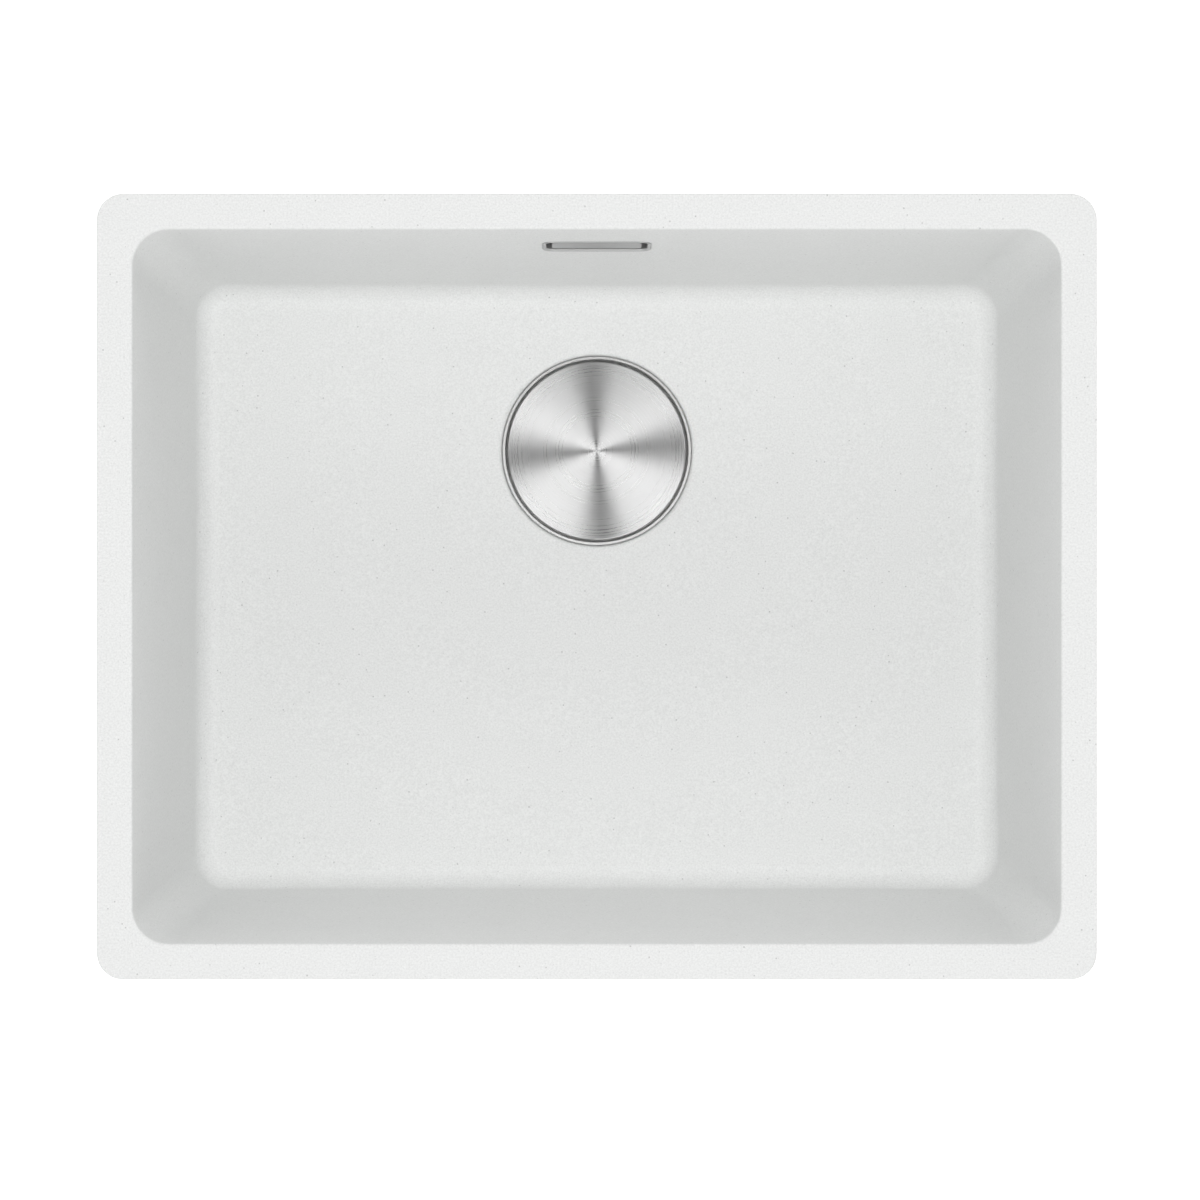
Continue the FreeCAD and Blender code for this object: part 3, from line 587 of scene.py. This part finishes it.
def threads():
    """The waste outlet, the two screws and the eight inserts."""
    waste = Matrix.Translation(WASTE)
    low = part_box("waste_body")[0].z - WASTE.z
    threaded("waste_body", [waste], OUTLET_THREAD, low, low + OUTLET_THREAD_LENGTH)
    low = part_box("centre_screw")[0].z - WASTE.z
    threaded("centre_screw", [waste], CENTRE_THREAD, low, low + CENTRE_THREAD_LENGTH)
    threaded("overflow_screw", [OVERFLOW], OVERFLOW_THREAD, *OVERFLOW_THREAD_SPAN)
    low, high = (corner.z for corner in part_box("threaded_inserts"))
    bosses = [
        Matrix.Translation((x * side, y * end, 0))
        for x, y in BOSSES
        for side in (-1, 1)
        for end in (-1, 1)
    ]
    threaded("threaded_inserts", bosses, INSERT_THREAD, low, high)


threads()


# World, floor and camera

def above(tree, elevation, low, high):
    """A mask that rises from 0 to 1 between two elevations, in degrees."""
    return remap(tree, elevation, low, high, 0.0, 1.0)


def band(tree, elevation, low, middle, high):
    """A mask that is 1 at the middle elevation and 0 at the low and the high one."""
    rise = above(tree, elevation, low, middle)
    fall = above(tree, elevation, high, middle)
    return math_node(tree, "MULTIPLY", rise, fall)


def studio():
    """Soft walls and ceiling for the granite, cards with gaps for metal, and white for the camera."""
    world = bpy.data.worlds.new("studio")
    bpy.context.scene.world = world
    world.use_nodes = True
    tree = world.node_tree
    tree.nodes.clear()
    direction = add(tree, "TexCoord").outputs["Generated"]
    x, y, z = add(tree, "SeparateXYZ", Vector=direction).outputs
    elevation = math_node(tree, "DEGREES", math_node(tree, "ARCSINE", z))
    level_part = vector_math(tree, "NORMALIZE", vector_math(tree, "MULTIPLY", direction, LEVEL))
    squares = vector_math(tree, "MULTIPLY", level_part, level_part)
    sides, ends, _ = add(tree, "SeparateXYZ", Vector=squares).outputs

    low = above(tree, elevation, BANDS[1], BANDS[0])
    walls = math_node(tree, "MULTIPLY", ends, band(tree, elevation, *BANDS[:3]))
    high_sides = math_node(tree, "MULTIPLY", sides, band(tree, elevation, *BANDS[1:]))
    ceiling = above(tree, elevation, *BANDS[2:])
    soft = math_node(tree, "MULTIPLY", walls, remap(tree, y, -1.0, 1.0, FRONT_LIGHT, BACK_LIGHT))
    for mask, strength in ((low, LOW_LIGHT), (high_sides, SIDE_LIGHT), (ceiling, CEILING_LIGHT)):
        soft = math_node(tree, "MULTIPLY_ADD", mask, strength, soft)

    about_z = {"rotation_type": "Z_AXIS"}
    turned = add(tree, "VectorRotate", about_z, Vector=level_part, Angle=-CARD_TURN).outputs[0]
    card_x, card_y, _ = add(tree, "SeparateXYZ", Vector=turned).outputs
    product = math_node(tree, "MULTIPLY", card_x, card_y)
    diagonal = math_node(tree, "ABSOLUTE", math_node(tree, "MULTIPLY", product, 2.0))
    cards = math_node(
        tree,
        "MULTIPLY",
        remap(tree, diagonal, *CARD_EDGE, 0.0, CARD_LIGHT),
        band(tree, elevation, *CARD_BAND),
    )
    low_glow = remap(tree, y, -1.0, 1.0, FRONT_GLOW, BACK_GLOW)
    cards = math_node(tree, "MULTIPLY_ADD", above(tree, elevation, *LOW_GLOW_BAND), low_glow, cards)
    cards = math_node(tree, "MULTIPLY_ADD", above(tree, elevation, *OVERHEAD_BAND), OVERHEAD_LIGHT, cards)

    rays = add(tree, "LightPath").outputs
    light = add(tree, "Background", Color=WHITE, Strength=soft)
    shine = add(tree, "Background", Color=WHITE, Strength=cards)
    white = add(tree, "Background", Color=WHITE, Strength=1.0)
    lit = add(tree, "MixShader", _0=rays["Is Glossy Ray"], _1=light.outputs[0], _2=shine.outputs[0])
    mix = add(tree, "MixShader", _0=rays["Is Camera Ray"], _1=lit.outputs[0], _2=white.outputs[0])
    output = add(tree, "OutputWorld")
    tree.links.new(mix.outputs[0], output.inputs["Surface"])


def overhead_lamp():
    """A round soft lamp above the bowl, which the metal and the camera don't see."""
    data = bpy.data.lights.new("overhead_lamp", "AREA")
    data.shape = "DISK"
    data.size = LAMP_SIZE
    data.energy = LAMP_POWER
    piece = bpy.data.objects.new("overhead_lamp", data)
    piece.location = (0, 0, LAMP_HEIGHT)
    piece.visible_glossy = False
    piece.visible_camera = False
    bpy.context.scene.collection.objects.link(piece)


def floor():
    """A pale floor that stays white to the camera but keeps the shadow, and is open from below."""
    mesh = bpy.data.meshes.new("floor")
    shape = bmesh.new()
    bmesh.ops.create_grid(shape, x_segments=1, y_segments=1, size=FLOOR_REACH)
    bmesh.ops.translate(shape, verts=shape.verts, vec=(0, 0, FLOOR_LEVEL))
    shape.to_mesh(mesh)
    shape.free()
    piece = bpy.data.objects.new("floor", mesh)
    bpy.context.scene.collection.objects.link(piece)

    material = bpy.data.materials.new("pale_floor")
    material.use_nodes = True
    tree = material.node_tree
    tree.nodes.clear()
    pale = add(tree, "BsdfDiffuse", Color=FLOOR_COLOR)
    glow = add(tree, "Emission", Color=WHITE, Strength=FLOOR_GLOW)
    lit = add(tree, "AddShader", _0=pale.outputs[0], _1=glow.outputs[0])
    rays = add(tree, "LightPath").outputs
    seen = math_node(tree, "MAXIMUM", rays["Is Camera Ray"], rays["Is Glossy Ray"])
    front = add(tree, "MixShader", _0=seen, _1=pale.outputs[0], _2=lit.outputs[0])
    clear = add(tree, "BsdfTransparent")
    below = add(tree, "NewGeometry").outputs["Backfacing"]
    both = add(tree, "MixShader", _0=below, _1=front.outputs[0], _2=clear.outputs[0])
    output = add(tree, "OutputMaterial")
    tree.links.new(both.outputs[0], output.inputs["Surface"])
    piece.data.materials.append(material)


def camera():
    """The photograph's viewpoint: straight above the bowl, framed as the photograph is."""
    data = bpy.data.cameras.new("camera")
    data.angle = CAMERA_ANGLE
    data.shift_x, data.shift_y = SHIFT
    piece = bpy.data.objects.new("camera", data)
    piece.location = (0, 0, CAMERA_HEIGHT)
    bpy.context.scene.collection.objects.link(piece)
    bpy.context.scene.camera = piece


studio()
floor()
overhead_lamp()
camera()
bpy.context.scene.view_settings.view_transform = "Standard"
